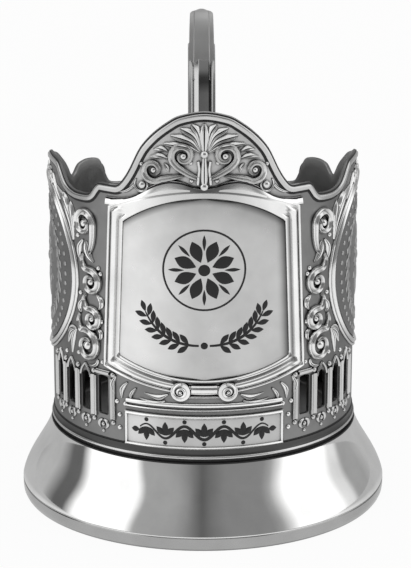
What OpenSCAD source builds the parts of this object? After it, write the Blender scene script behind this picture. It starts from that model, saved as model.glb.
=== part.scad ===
// Tea glass holder: a rolled and pierced sheet sleeve on a flared foot, with applied frames and
// plates round the sleeve and a strap handle behind it.
// Millimetres. The front faces -Y, the handle is at +Y and Z is up. The origin is the centre of the
// plane that the foot stands on. Angles round the axis are counted from the front, towards +X.

/* [Glass] */
// Diameter of the space that the glass slides into
glass_space_d = 68.2; // [60:0.2:80]

/* [Sleeve] */
// Thickness of the sleeve's sheet
sleeve_wall = 0.8; // [0.6:0.1:1.4]
// Height of the crown's top above the foot
crown_h = 78.7; // [74:0.1:90]
// Height of the low rim at the back above the foot
rim_low_h = 49; // [46:0.5:52]
// Thickness of the disc that the glass stands on
floor_t = 1; // [0.8:0.1:2]

/* [Slots] */
// Width of one pierced slot
slot_w = 2.9; // [2:0.1:3.6]
// Length of one pierced slot
slot_h = 9.2; // [6:0.1:11]
// Gap from the belt to the foot of the slots
slot_rise = 5.6; // [4:0.1:7]
// Slots in each of the four groups
slot_count = 4; // [3:1:4]

/* [Foot] */
// Height of the foot
foot_h = 18; // [14:0.5:24]
// Diameter of the foot's widest ring
foot_d = 85.2; // [80:0.2:96]
// Thickness of the foot's sheet
foot_wall = 0.9; // [0.7:0.1:1.4]
// Height of the upright edge at the foot's bottom
foot_edge_h = 3.4; // [2:0.1:5]
// Width of the flat ring inside the foot's top, which carries the floor and the sleeve
foot_flange_w = 10; // [6:0.5:14]

/* [Belt] */
// Height of the belt round the sleeve's lower edge
belt_h = 2.9; // [2:0.1:3.6]
// How far the belt stands out from the sleeve
belt_t = 0.6; // [0.4:0.05:0.9]

/* [Front plates] */
// Width across the frame's lower corners
frame_w = 44; // [40:0.2:46]
// Width across the frame's upper corners
frame_top_w = 41.2; // [36:0.2:44]
// Height of the frame's lower corners above the foot
frame_low_h = 20; // [19:0.2:22]
// Height of the frame's upper corners above the foot
frame_high_h = 57.1; // [52:0.1:59]
// Rise of the arched upper edge
frame_arch = 4.7; // [3:0.1:6]
// Drop of the curved lower edge
frame_sag = 4.2; // [3:0.1:5]
// Width of the frame's moulding
frame_band = 3.4; // [2.4:0.1:4.2]
// How far the frame stands out from the sleeve
frame_t = 0.9; // [0.6:0.05:1.2]
// Thickness of the plates inside the frames
plate_t = 0.4; // [0.3:0.05:0.6]
// Width of the low name plate
label_w = 34.8; // [30:0.2:38]
// Height of the low name plate
label_h = 7.9; // [6:0.1:8]
// Thickness of the low name plate
label_t = 0.7; // [0.4:0.05:0.9]

/* [Side plates] */
// Diameter of a side frame
side_frame_d = 42.6; // [36:0.2:44]
// Height of its centre above the foot
side_frame_h = 38.3; // [37:0.1:39]
// Width of its moulding
side_band = 2.3; // [1.6:0.1:3]

/* [Handle] */
// Width of the strap
handle_w = 6.7; // [5:0.1:9]
// Thickness of the strap
handle_t = 2; // [1.6:0.1:3]
// Distance from the sleeve to the strap's middle line at its widest
handle_reach = 28; // [24:0.5:34]
// Height of the strap's middle line at its top, above the foot
handle_top_h = 78; // [72:0.5:86]
// Height of the strap's lower end above the foot
handle_low_h = 6.5; // [5:0.5:12]
// Width of the rib along the strap's outer face
rib_w = 3.4; // [2.4:0.1:4.4]
// Height of that rib
rib_t = 0.5; // [0.3:0.05:0.8]
// Rise of the thumb rest's tip above the strap's middle line
thumb_rise = 9; // [6:0.5:14]
// Width of the thumb rest's tip
thumb_tip_w = 5.5; // [4:0.1:6.5]
// Thickness of the thumb rest
thumb_t = 1.4; // [1:0.1:2]

/* [Hidden] */
$fn = 96;

// Solder film between a piece and what it is soldered to
solder_gap = 0.05;
// Overrun of every cut
over = 1;

bore_r = glass_space_d / 2;
sleeve_r = bore_r + sleeve_wall;
floor_z = foot_h + floor_t;
seat_r = sleeve_r + solder_gap;
belt_r = seat_r + belt_t;
belt_top_z = foot_h + belt_h;
crown_top_z = foot_h + crown_h;
rim_low_z = foot_h + rim_low_h;
frame_low_z = foot_h + frame_low_h;
frame_high_z = foot_h + frame_high_h;
side_frame_z = foot_h + side_frame_h;
handle_top_z = foot_h + handle_top_h;
handle_low_z = foot_h + handle_low_h;
thumb_top_z = handle_top_z + thumb_rise;
label_z = belt_top_z + solder_gap;
foot_r = foot_d / 2;
slot_z = belt_top_z + slot_rise;

// The rim's height round one half: angle from the front, and share of the rise from the low rim
// to the crown's top. The other half mirrors it.
rim_shares = [
    [0, 1], [9, 0.966], [14, 0.906], [18, 0.842], [21, 0.781], [23.5, 0.717], [25.3, 0.65],
    [26.8, 0.586], [28.5, 0.525], [30.5, 0.468], [33, 0.424], [41, 0.424], [43.5, 0.385],
    [45.5, 0.33], [48, 0.318], [53, 0.314], [57, 0.326], [60, 0.35], [62, 0.385],
    [64, 0.43], [66, 0.468], [68.5, 0.492], [73, 0.502], [80, 0.505], [86, 0.49], [95, 0.438],
    [102, 0.395], [106, 0.348], [110, 0.29], [113, 0.225], [115, 0.166], [117, 0.15],
    [119, 0.175], [121, 0.222], [127, 0.246], [134, 0.222], [136.5, 0.12], [139.5, 0.018],
    [145, 0], [180, 0]
];
// Half-width of the stretch over which the rim's corners are eased
rim_ease_a = 1;
// The crown is cut by an outline run from the front, and the rest by one run from side to side.
// The two meet on the level shoulder, from and to these angles.
side_cut_from_a = 36;
front_cut_to_a = 38;
// The rim is level again from here to the handle
low_rim_from_a = 146;
rim_steps = 40;

// Angle of a group's first slot from its plate's middle line, and from slot to slot
slot_first_a = 39.8;
slot_pitch_a = 9.2;

// The foot's flare, in steps
flare_steps = 16;
// The upright edge leans in by this share of its height
edge_lean_share = 0.1;

// The two scroll bosses under the front frame
boss_r_share = 0.6;
boss_x_share = 0.116;

// The strap's middle line: shares of its reach and of its rise, as Bezier corner points
strap_up_shares = [[0, 0.6], [0, 0.84], [0.16, 1], [0.5, 1]];
strap_over_shares = [[0.5, 1], [0.84, 1], [1, 0.88], [1, 0.68]];
strap_down_shares = [[1, 0.68], [1, 0.42], [0.8, 0.3], [0.45, 0.2]];
strap_in_shares = [[0.45, 0.2], [0.18, 0.122], [0, 0.16], [0, 0.06]];
strap_pad_share = 0.34;
curve_steps = 12;

// The thumb rest's middle line, in the strap's shares but for its top
thumb_shares = [[0.13, 0.86], [0.22, 0.98], [0.44, 1], [0.5, 1]];

function rim_share(a) = lookup(min(abs(a), abs(360 - abs(a))), rim_shares);
function rim_z(a) = rim_low_z + (crown_top_z - rim_low_z)
    * (rim_share(a - rim_ease_a) + 2 * rim_share(a) + rim_share(a + rim_ease_a)) / 4;

function arc_r(half, rise) = (half * half + rise * rise) / (2 * rise);
function mix(a, b, t) = a + (b - a) * t;
function ease(t) = (1 - cos(180 * t)) / 2;

function bezier(p, t) = pow(1 - t, 3) * p[0] + 3 * t * pow(1 - t, 2) * p[1]
    + 3 * t * t * (1 - t) * p[2] + pow(t, 3) * p[3];
function bezier_run(p) = [for (i = [1 : curve_steps]) bezier(p, i / curve_steps)];

// A middle line moved sideways by d, each point along the normal of its neighbours
function unit(v) = v / norm(v);
function tangent(p, i) = unit(p[min(i + 1, len(p) - 1)] - p[max(i - 1, 0)]);
function moved(p, d) = [for (i = [0 : len(p) - 1]) p[i] + d * [-tangent(p, i)[1], tangent(p, i)[0]]];
function reversed(p) = [for (i = [len(p) - 1 : -1 : 0]) p[i]];
function band(p, d0, d1) = concat(moved(p, d0), reversed(moved(p, d1)));

// An outline in x and z, run towards the front from r0 to r1 off the axis
module outwards(r0, r1) {
    translate([0, -r0, 0]) rotate([90, 0, 0]) linear_extrude(height = r1 - r0) children();
}

// A profile in y and z, run across the handle's width
module across(w) {
    translate([-w / 2, 0, 0]) rotate([90, 0, 90]) linear_extrude(height = w) children();
}

module ring(r0, r1, z0, z1) {
    difference() {
        translate([0, 0, z0]) cylinder(h = z1 - z0, r = r1);
        translate([0, 0, z0 - over]) cylinder(h = z1 - z0 + 2 * over, r = r0);
    }
}

// An outline on the front of the sleeve, bent to its curve and t thick
module applied(t, a = 0) {
    intersection() {
        ring(seat_r, seat_r + t, foot_h, crown_top_z);
        rotate([0, 0, a]) outwards(0, seat_r + t + over) children();
    }
}

// What lies above the rim: over the crown, and over the sides and the back
module front_sky() {
    top_z = crown_top_z + over;
    end_x = sleeve_r * sin(front_cut_to_a);
    outwards(bore_r * cos(front_cut_to_a) - over, sleeve_r + over) polygon(concat(
        [for (i = [0 : rim_steps]) let (a = mix(-front_cut_to_a, front_cut_to_a, i / rim_steps))
            [sleeve_r * sin(a), rim_z(a)]],
        [[end_x, top_z], [-end_x, top_z]]));
}

module side_sky() {
    top_z = crown_top_z + over;
    across(2 * (sleeve_r + over)) polygon(concat(
        [for (i = [0 : rim_steps]) let (a = mix(side_cut_from_a, low_rim_from_a, i / rim_steps))
            [-sleeve_r * cos(a), rim_z(a)]],
        [[sleeve_r + over, rim_low_z], [sleeve_r + over, top_z],
            [-sleeve_r * cos(side_cut_from_a), top_z]]));
}

module slot() {
    outwards(bore_r - over, sleeve_r + over) union() {
        translate([-slot_w / 2, slot_z + slot_w / 2]) square([slot_w, slot_h - slot_w]);
        translate([0, slot_z + slot_w / 2]) circle(d = slot_w);
        translate([0, slot_z + slot_h - slot_w / 2]) circle(d = slot_w);
    }
}

module body_sleeve() {
    color("silver") difference() {
        ring(bore_r, sleeve_r, floor_z, crown_top_z);
        front_sky();
        side_sky();
        for (back = [0, 180]) for (side = [-1, 1]) for (i = [0 : slot_count - 1])
            rotate([0, 0, back + side * (slot_first_a + i * slot_pitch_a)]) slot();
    }
}

module floor_disc() {
    color("lightgray") translate([0, 0, foot_h]) cylinder(h = floor_t, r = sleeve_r);
}

// The foot's outer radius at share t of the way down from the neck to the upright edge
function flare_r(t) = mix(belt_r, foot_r, (t + ease(t)) / 2);
function flare_z(t) = mix(foot_h, foot_edge_h, t);

module foot_skirt() {
    outer = [for (i = [0 : flare_steps]) [flare_r(i / flare_steps), flare_z(i / flare_steps)]];
    lower_in = foot_edge_h * edge_lean_share;
    inner = [for (i = [flare_steps : -1 : 0])
        [flare_r(i / flare_steps) - foot_wall, min(flare_z(i / flare_steps), foot_h - foot_wall)]];
    flange_r = bore_r - foot_flange_w;
    color("silver") rotate_extrude() polygon(concat(
        outer,
        [[foot_r - lower_in, 0], [foot_r - lower_in - foot_wall, 0]],
        inner,
        [[flange_r, foot_h - foot_wall], [flange_r, foot_h]]));
}

module lower_belt() {
    color("gray") rotate_extrude() difference() {
        translate([seat_r, foot_h]) square([belt_t, belt_h]);
        // groove between the belt's two mouldings
        translate([belt_r, foot_h + belt_h / 2]) circle(r = belt_t / 2);
    }
}

// The front frame's outline, drawn in by d all round: straight leaning sides between two arcs
module cartouche(d) {
    high = frame_high_z + frame_arch - d;
    low = frame_low_z - frame_sag + d;
    top_r = arc_r(frame_top_w / 2 - d, frame_arch);
    low_r = arc_r(frame_w / 2 - d, frame_sag);
    lean = (frame_w - frame_top_w) / 2 / (frame_high_z - frame_low_z);
    end_low = frame_w / 2 - d + lean * (frame_sag + over);
    end_high = frame_top_w / 2 - d - lean * (frame_arch + over);
    intersection() {
        polygon([[-end_low, low - over], [end_low, low - over], [end_high, high + over],
            [-end_high, high + over]]);
        translate([0, high - top_r]) circle(r = top_r);
        translate([0, low + low_r]) circle(r = low_r);
    }
}

module cartouche_frame() {
    boss_r = frame_band * boss_r_share;
    color("white") applied(frame_t) difference() {
        union() {
            cartouche(0);
            for (side = [-1, 1])
                translate([side * frame_w * boss_x_share, frame_low_z - frame_sag + frame_band / 4])
                    circle(r = boss_r);
        }
        cartouche(frame_band);
    }
}

module front_plate() {
    color("gainsboro") applied(plate_t) cartouche(frame_band + solder_gap);
}

module name_plate() {
    color("gainsboro") applied(label_t)
        translate([-label_w / 2, label_z]) square([label_w, label_h]);
}

module side_frame(a) {
    color("silver") applied(frame_t, a) translate([0, side_frame_z]) difference() {
        circle(d = side_frame_d);
        circle(d = side_frame_d - 2 * side_band);
    }
}

module side_plate(a) {
    color("gray") applied(plate_t, a) translate([0, side_frame_z])
        circle(d = side_frame_d - 2 * side_band - 2 * solder_gap);
}

module side_frame_left() { side_frame(-90); }
module side_frame_right() { side_frame(90); }
module side_plate_left() { side_plate(-90); }
module side_plate_right() { side_plate(90); }

// A point of the handle from its shares of reach and rise
function on_handle(p) = [seat_r + handle_t / 2 + p[0] * handle_reach,
    mix(handle_low_z, handle_top_z, p[1])];
function on_handle_run(p) = [for (s = bezier_run(p)) on_handle(s)];

strap_line = concat(
    [on_handle([0, strap_pad_share]), on_handle(strap_up_shares[0])],
    on_handle_run(strap_up_shares), on_handle_run(strap_over_shares),
    on_handle_run(strap_down_shares), on_handle_run(strap_in_shares),
    [on_handle([0, 0])]);

// The rib starts where the strap has left the sleeve
rib_line = [for (p = strap_line) if (p[0] > seat_r + handle_t / 2 + rib_t) p];

module handle_strap() {
    color("silver") union() {
        across(handle_w) polygon(band(strap_line, -handle_t / 2, handle_t / 2));
        across(rib_w) polygon(band(rib_line, 0, handle_t / 2 + rib_t));
    }
}

module thumb_rest() {
    tip = on_handle([thumb_shares[3][0], 1])[0];
    low = on_handle(thumb_shares[0]);
    line = [for (s = concat([thumb_shares[0]], bezier_run(thumb_shares)))
        let (rise = (s[1] - thumb_shares[0][1]) / (1 - thumb_shares[0][1]))
        [on_handle(s)[0], mix(low[1], thumb_top_z, rise)]];
    color("silver") difference() {
        intersection() {
            across(handle_w) polygon(band(line, -thumb_t / 2, thumb_t / 2));
            mirror([0, 1, 0]) outwards(0, tip + thumb_t) union() {
                polygon([[-handle_w / 2, low[1] - over], [handle_w / 2, low[1] - over],
                    [thumb_tip_w / 2, thumb_top_z - thumb_tip_w / 2],
                    [-thumb_tip_w / 2, thumb_top_z - thumb_tip_w / 2]]);
                translate([0, thumb_top_z - thumb_tip_w / 2]) circle(d = thumb_tip_w);
            }
        }
        across(handle_w + 2 * over)
            polygon(band(strap_line, -handle_t, handle_t / 2 + rib_t + solder_gap));
    }
}

body_sleeve();
floor_disc();
foot_skirt();
lower_belt();
cartouche_frame();
front_plate();
name_plate();
side_frame_left();
side_frame_right();
side_plate_left();
side_plate_right();
handle_strap();
thumb_rest();
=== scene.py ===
"""The looks of a tea glass holder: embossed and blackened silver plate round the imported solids.

Lengths are millimetres until a mesh is made. Places on the sleeve are (s, z): the arc from the front's
middle line, measured at the sleeve's outer radius and positive towards +X, and the height.
"""

import bmesh
import bpy
import numpy as np
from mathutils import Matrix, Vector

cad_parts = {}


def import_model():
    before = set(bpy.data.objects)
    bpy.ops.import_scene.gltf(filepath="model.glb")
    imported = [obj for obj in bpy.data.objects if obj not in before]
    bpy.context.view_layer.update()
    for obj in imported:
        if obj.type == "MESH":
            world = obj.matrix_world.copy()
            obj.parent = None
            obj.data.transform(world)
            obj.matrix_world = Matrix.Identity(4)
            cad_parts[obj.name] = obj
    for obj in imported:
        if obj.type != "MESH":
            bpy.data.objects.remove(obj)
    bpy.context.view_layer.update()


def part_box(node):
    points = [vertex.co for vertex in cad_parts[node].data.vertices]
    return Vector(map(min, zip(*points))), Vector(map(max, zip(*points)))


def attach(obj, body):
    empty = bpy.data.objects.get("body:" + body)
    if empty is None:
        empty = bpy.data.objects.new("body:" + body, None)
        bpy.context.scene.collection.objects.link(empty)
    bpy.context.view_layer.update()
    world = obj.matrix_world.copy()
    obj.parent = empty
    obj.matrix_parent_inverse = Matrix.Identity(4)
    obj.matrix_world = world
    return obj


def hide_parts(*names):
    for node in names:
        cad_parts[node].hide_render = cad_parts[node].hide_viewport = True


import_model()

MM = 0.001
BODY = "root"


def box_mm(node):
    low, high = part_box(node)
    return np.array(low) / MM, np.array(high) / MM


# Sizes taken from the frame, and the sheet's thickness
SLEEVE_LOW, SLEEVE_HIGH = box_mm("body_sleeve")
SLEEVE_R = SLEEVE_HIGH[0]
SLEEVE_WALL = 0.8
BORE_R = SLEEVE_R - SLEEVE_WALL
FLOOR_Z = SLEEVE_LOW[2]
FOOT_R, _, FOOT_H = box_mm("foot_skirt")[1]
BELT_R, _, BELT_TOP_Z = box_mm("lower_belt")[1]
LABEL_LOW, LABEL_HIGH = box_mm("name_plate")
SIDE_LOW, SIDE_HIGH = box_mm("side_frame_right")
SIDE_R = (SIDE_HIGH - SIDE_LOW)[2] / 2
SIDE_Z = (SIDE_HIGH + SIDE_LOW)[2] / 2
HANDLE_W = 2 * box_mm("handle_strap")[1][0]
HANDLE_LOW_Z = box_mm("handle_strap")[0][2]
QUARTER = SLEEVE_R * np.pi / 2
HALF_TURN = 2 * QUARTER

# The rim: height round one half, as angle and share of the rise from the low rim to the crown's top
RIM_LOW_Z = 67.0
CROWN_TOP_Z = 96.7
RIM_SHARES = [
    (0, 1), (9, 0.966), (14, 0.906), (18, 0.842), (21, 0.781), (23.5, 0.717), (25.3, 0.65),
    (26.8, 0.586), (28.5, 0.525), (30.5, 0.468), (33, 0.424), (41, 0.424), (43.5, 0.385),
    (45.5, 0.33), (48, 0.318), (53, 0.314), (57, 0.326), (60, 0.35), (62, 0.385),
    (64, 0.43), (66, 0.468), (68.5, 0.492), (73, 0.502), (80, 0.505), (86, 0.49), (95, 0.438),
    (102, 0.395), (106, 0.348), (110, 0.29), (113, 0.225), (115, 0.166), (117, 0.15),
    (119, 0.175), (121, 0.222), (127, 0.246), (134, 0.222), (136.5, 0.12), (139.5, 0.018),
    (145, 0), (180, 0),
]
RIM_EASE_A = 1.0

# The pierced slots
SLOT_W = 2.9
SLOT_H = 9.2
SLOT_Z = BELT_TOP_Z + 5.6
SLOT_TOP_Z = SLOT_Z + SLOT_H
SLOT_FIRST_A = 39.8
SLOT_PITCH_A = 9.2
SLOT_COUNT = 4

# The front frame and its plate, the low plate, and the plates at the sides
FRAME_W = 44.0
FRAME_TOP_W = 41.2
FRAME_LOW_Z = 38.0
FRAME_HIGH_Z = 75.1
FRAME_ARCH = 4.7
FRAME_SAG = 4.2
FRAME_BAND = 3.4
FRAME_T = 0.9
PANEL_LIFT = 0.2
LABEL_T = 0.7
LABEL_LIFT = LABEL_T * 0.5
SIDE_BAND = 2.3
DISC_LIFT = 0.24
INLAY_T = 0.05

# The handle
HANDLE_T = 2.0
HANDLE_REACH = 28.0
HANDLE_TOP_Z = 96.0
RIB_W = 3.4
RIB_T = 0.5
THUMB_TIP_W = 5.5
THUMB_T = 1.4

# Relief is sunk this far into the sheet that carries it
SINK = 0.12
# A sheet stays this far inside the opening that it fits
CLEAR = 0.02
# The film of solder under the handle
SOLDER_GAP = 0.05


def clip(x):
    """x, held between 0 and 1."""
    return np.clip(x, 0, 1)


def smooth_through(points):
    """A smooth function through (place, value) points that doesn't overshoot them."""
    places, values = np.array(points, float).T
    step = np.diff(places)
    rate = np.diff(values) / step
    slope = np.zeros(len(places))
    for i in range(1, len(rate)):
        if rate[i - 1] * rate[i] > 0:
            before, after = 2 * step[i] + step[i - 1], step[i] + 2 * step[i - 1]
            slope[i] = (before + after) / (before / rate[i - 1] + after / rate[i])

    def value(x):
        i = np.clip(np.searchsorted(places, x, side="right") - 1, 0, len(rate) - 1)
        t = clip((x - places[i]) / step[i])
        rise = values[i + 1] - values[i]
        return (values[i] + rise * t * t * (3 - 2 * t)
                + step[i] * t * (1 - t) * ((1 - t) * slope[i] - t * slope[i + 1]))

    return value


RIM_SHARE = smooth_through(RIM_SHARES)


def rim_z(a):
    """The rim's height at angle a, in degrees."""
    def share(b):
        return RIM_SHARE(np.abs((b + 180) % 360 - 180))

    eased = (share(a - RIM_EASE_A) + 2 * share(a) + share(a + RIM_EASE_A)) / 4
    return RIM_LOW_Z + (CROWN_TOP_Z - RIM_LOW_Z) * eased


def arc_of(a):
    return np.radians(a) * SLEEVE_R


def around(r, z, turn):
    """Points at a radius and a height, at angles in radians round the axis from the front."""
    return np.stack([r * np.sin(turn), -r * np.cos(turn), z + 0 * turn], axis=-1)


def bent(points, lift):
    """Points (s, z) at a lift above the sleeve, as x, y, z."""
    return around(SLEEVE_R + lift, points[..., 1], points[..., 0] / SLEEVE_R)


def bezier(p0, p1, p2, p3, n=16):
    t = np.linspace(0, 1, n)[:, None]
    p0, p1, p2, p3 = (np.array(p, float) for p in (p0, p1, p2, p3))
    return (1 - t) ** 3 * p0 + 3 * t * (1 - t) ** 2 * p1 + 3 * t * t * (1 - t) * p2 + t ** 3 * p3


def through(*points, n=10):
    """A smooth line through points, n steps from each to the next."""
    p = np.array(points, float)
    p = np.concatenate([[2 * p[0] - p[1]], p, [2 * p[-1] - p[-2]]])
    t = np.linspace(0, 1, n, endpoint=False)[:, None]
    runs = []
    for a, b, c, d in zip(p, p[1:], p[2:], p[3:]):
        runs.append(0.5 * (2 * b + (c - a) * t + (2 * a - 5 * b + 4 * c - d) * t ** 2
                           + (3 * b - a - 3 * c + d) * t ** 3))
    return np.concatenate(runs + [p[-2:-1]])


def polar(r, a):
    return np.stack([r * np.cos(a), r * np.sin(a)], axis=-1)


def volute(centre, r_out, turns, start, hand, r_in, hold=1.5):
    """A spiral from outside in, starting at an angle in degrees; hand 1 turns anticlockwise.

    A larger hold keeps it at the outer radius for longer.
    """
    t = np.linspace(0, 1, 44)
    r = r_out * (r_in / r_out) ** (t ** hold)
    a = np.radians(start) + hand * 2 * np.pi * turns * t
    return centre + polar(r, a)


def circle(centre, r, n, closed=False):
    """n points round a centre; closed ends it where it started."""
    a = np.linspace(0, 2 * np.pi, n, endpoint=closed)
    return centre + polar(r, a)


def joined(*runs):
    return np.concatenate([run if i == 0 else run[1:] for i, run in enumerate(runs)])


def flipped(points):
    """The other half of an outline whose first half runs through points."""
    return [(-x, y) for x, y in points[::-1]]


def swell(n, start, middle, end, peak=0.5):
    """n widths that rise from start to middle at share peak of the way, and fall to end."""
    t = np.linspace(0, 1, n)
    up = start + (middle - start) * np.sin(clip(t / peak) * np.pi / 2)
    down = end + (middle - end) * np.sin(clip((1 - t) / (1 - peak)) * np.pi / 2)
    return np.where(t < peak, up, down)


def even(*half):
    """A cross-section whose right half mirrors its left half."""
    return [*half, *(place for place in flipped(half) if place[0])]


# Cross-sections of a raised stroke: place across the half-width, and share of the height
ROUND = even((-1, 0), (-0.9, 0.42), (-0.6, 0.82), (0, 1))
RIBBON = even((-1, 0), (-0.92, 0.75), (-0.72, 1), (-0.45, 0.62), (0, 0.4))
LEAF = even((-1, 0), (-0.8, 0.55), (-0.45, 0.9), (-0.12, 0.75), (0, 0.35))
STEPPED = even((-1, 0), (-0.96, 0.35), (-0.6, 0.4), (-0.5, 0.95), (0, 1))
BAND = even((-1, 0), (-0.95, 0.6), (-0.75, 0.9), (-0.3, 1))
FLAT = even((-1, 0), (-0.9, 1), (0, 1))

# Which copies of a relief are made: mirrored to the left, and both again behind the side plates
ONCE = ("right",)
PAIR = ("right", "left")
ALL_FOUR = ("right", "left", "right_back", "left_back")


class Mesh:
    """Collects points in millimetres and faces, and makes them one object."""

    def __init__(self):
        self.points, self.faces = [], []

    def add(self, points, faces):
        start = len(self.points)
        self.points += [tuple(p) for p in np.asarray(points, float).reshape(-1, 3)]
        self.faces += [tuple(start + i for i in face) for face in faces]
        return self

    def loops(self, rings, wrap=True):
        """Quads between closed rings of points; wrap joins the last ring to the first."""
        here = np.arange(len(rings) * len(rings[0])).reshape(len(rings), -1)
        beside, below = np.roll(here, -1, axis=1), np.roll(here, -1, axis=0)
        quads = np.stack([here, beside, np.roll(beside, -1, axis=0), below], axis=-1)
        return self.add(np.stack(rings), (quads if wrap else quads[:-1]).reshape(-1, 4).tolist())

    def tube(self, rings):
        """A closed solid through rings of points, with one face at each end."""
        start, count = len(self.points), len(rings[0])
        self.loops(rings, wrap=False)
        end = len(self.points)
        self.faces += [tuple(range(start, start + count))[::-1], tuple(range(end - count, end))]
        return self

    def linked(self, name):
        """The mesh as an object in the scene."""
        mesh = bpy.data.meshes.new(name)
        mesh.from_pydata([tuple(c * MM for c in p) for p in self.points], [], self.faces)
        obj = bpy.data.objects.new(name, mesh)
        bpy.context.scene.collection.objects.link(obj)
        return obj

    def piece(self, name, material, slot="relief_silver", crease=40, replaces=()):
        """A piece of the holder; only its edges sharper than crease, in degrees, are sharp."""
        obj = self.linked(name)
        obj.data.update()
        obj.data.polygons.foreach_set("use_smooth", [True] * len(obj.data.polygons))
        obj.data.set_sharp_from_angle(angle=np.radians(crease))
        fix_normals(obj)
        obj.data.materials.append(material)
        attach(obj, BODY)
        if replaces:
            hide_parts(*replaces)
        return obj


def fix_normals(obj):
    work = bmesh.new()
    work.from_mesh(obj.data)
    bmesh.ops.recalc_face_normals(work, faces=work.faces)
    work.to_mesh(obj.data)
    work.free()


class Relief(Mesh):
    """Raised strokes and beads on the sleeve, or on a plate at a lift above it."""

    def __init__(self, copies=PAIR, base=0.0, foot=None):
        super().__init__()
        self.copies = copies
        self.base = base
        self.foot = base - SINK if foot is None else foot

    def placed(self, path):
        s, z = np.asarray(path, float).T
        places = {"right": s, "left": -s, "right_back": HALF_TURN - s, "left_back": s - HALF_TURN}
        return [np.stack([places[copy], z], axis=-1) for copy in self.copies]

    def stroke(self, path, width, height, section=ROUND):
        """A moulding along a path; it gets lower where it gets narrower.

        Its width is one number, or the widths and the peak that swell takes.
        """
        width = swell(len(path), *width) if np.ndim(width) else np.full(len(path), float(width))
        height = height * (0.3 + 0.7 * width / width.max())
        across, share = np.array(section, float).T
        for line in self.placed(path):
            along = np.gradient(line, axis=0)
            along /= np.linalg.norm(along, axis=1, keepdims=True) + 1e-9
            normal = np.stack([-along[:, 1], along[:, 0]], axis=-1)
            top = line[:, None] + normal[:, None] * (across * width[:, None] / 2)[..., None]
            upper = bent(top, share * height[:, None] + self.base)
            self.tube(np.concatenate([upper, bent(top[:, [-1, 0]], self.foot)], axis=1))

    def leaf(self, start, bow, tip, width, height, n=16):
        """A leaf that leaves its start towards bow and ends at its tip."""
        self.stroke(bezier(start, bow, bow, tip, n), width, height, LEAF)

    def rings(self, centre, profile, steps=20):
        """A round boss from (radius, lift) pairs, first to last from its edge in."""
        for line in self.placed([centre]):
            self.tube([bent(circle(line[0], r, steps), self.base + lift)
                       for r, lift in [(profile[0][0], self.foot - self.base), *profile]])

    def bead(self, centre, r, height, steps=14, rings=4):
        """A low dome."""
        rise = np.arange(rings + 1) / (rings + 0.5) * np.pi / 2
        self.rings(centre, list(zip(r * np.cos(rise), height * np.sin(rise))), steps)

    def petal(self, centre, angle, start, length, width, height, section=ROUND):
        """A leaf-shaped mark that leaves a centre at an angle in degrees."""
        way = polar(1, np.radians(angle))
        path = np.linspace(centre + way * start, centre + way * (start + length), 14)
        self.stroke(path, (0.1, width, 0.08, 0.55), height, section)


# Materials

# Texture scales, in cells to the metre
CLOUDS = 110
LINES = 130
SPOTS = 420
GRAINS = 900
DOTS = 2300
TARNISH = (0.012, 0.012, 0.013, 1)


def add(tree, kind, *in_order, **named):
    """A new shader node, given its inputs in order or by capitalised name, and its settings.

    An input takes a number, a colour, another node's output, or a node for its first output.
    """
    node = tree.nodes.new("ShaderNode" + kind)
    inputs = dict(enumerate(in_order))
    for name, value in named.items():
        if name[0].isupper():
            inputs[name.replace("_", " ")] = value
        else:
            setattr(node, name, value)
    for place, value in inputs.items():
        if isinstance(value, bpy.types.Node):
            value = value.outputs[0]
        if isinstance(value, bpy.types.NodeSocket):
            tree.links.new(value, node.inputs[place])
        else:
            node.inputs[place].default_value = value
    return node


def ramp(tree, factor, stops):
    """A colour ramp through two or more (place, colour) stops, from low to high."""
    node = add(tree, "ValToRGB", factor)
    elements = node.color_ramp.elements
    for i, (place, colour) in enumerate(stops):
        element = elements[i] if i < len(elements) else elements.new(1.0)
        element.position = place
        element.color = colour
    return node


def noise(tree, where, scale, detail=3.0):
    return add(tree, "TexNoise", where, Scale=scale, Detail=detail)


def with_tree(owner):
    """A new material or world, and its emptied tree."""
    owner.use_nodes = True
    owner.node_tree.nodes.clear()
    return owner, owner.node_tree


def paint_light_and_shade(obj, tone_of):
    """Painted light and shade: stores how bright the finish is at each point, as tone_of(x, y, z) in
    millimetres.
    """
    places = np.array([point.co for point in obj.data.vertices]) / MM
    layer = obj.data.attributes.new("tone", "FLOAT", "POINT")
    layer.data.foreach_set("value", np.clip(tone_of(*places.T), 0, 4))


def refinish(obj, material, chosen):
    """Gives a second finish to each face that chosen(radius, height, normal) picks by its middle."""
    obj.data.materials.append(material)
    for face in obj.data.polygons:
        x, y, z = face.center / MM
        if chosen(np.hypot(x, y), z, face.normal):
            face.material_index = 1


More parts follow.
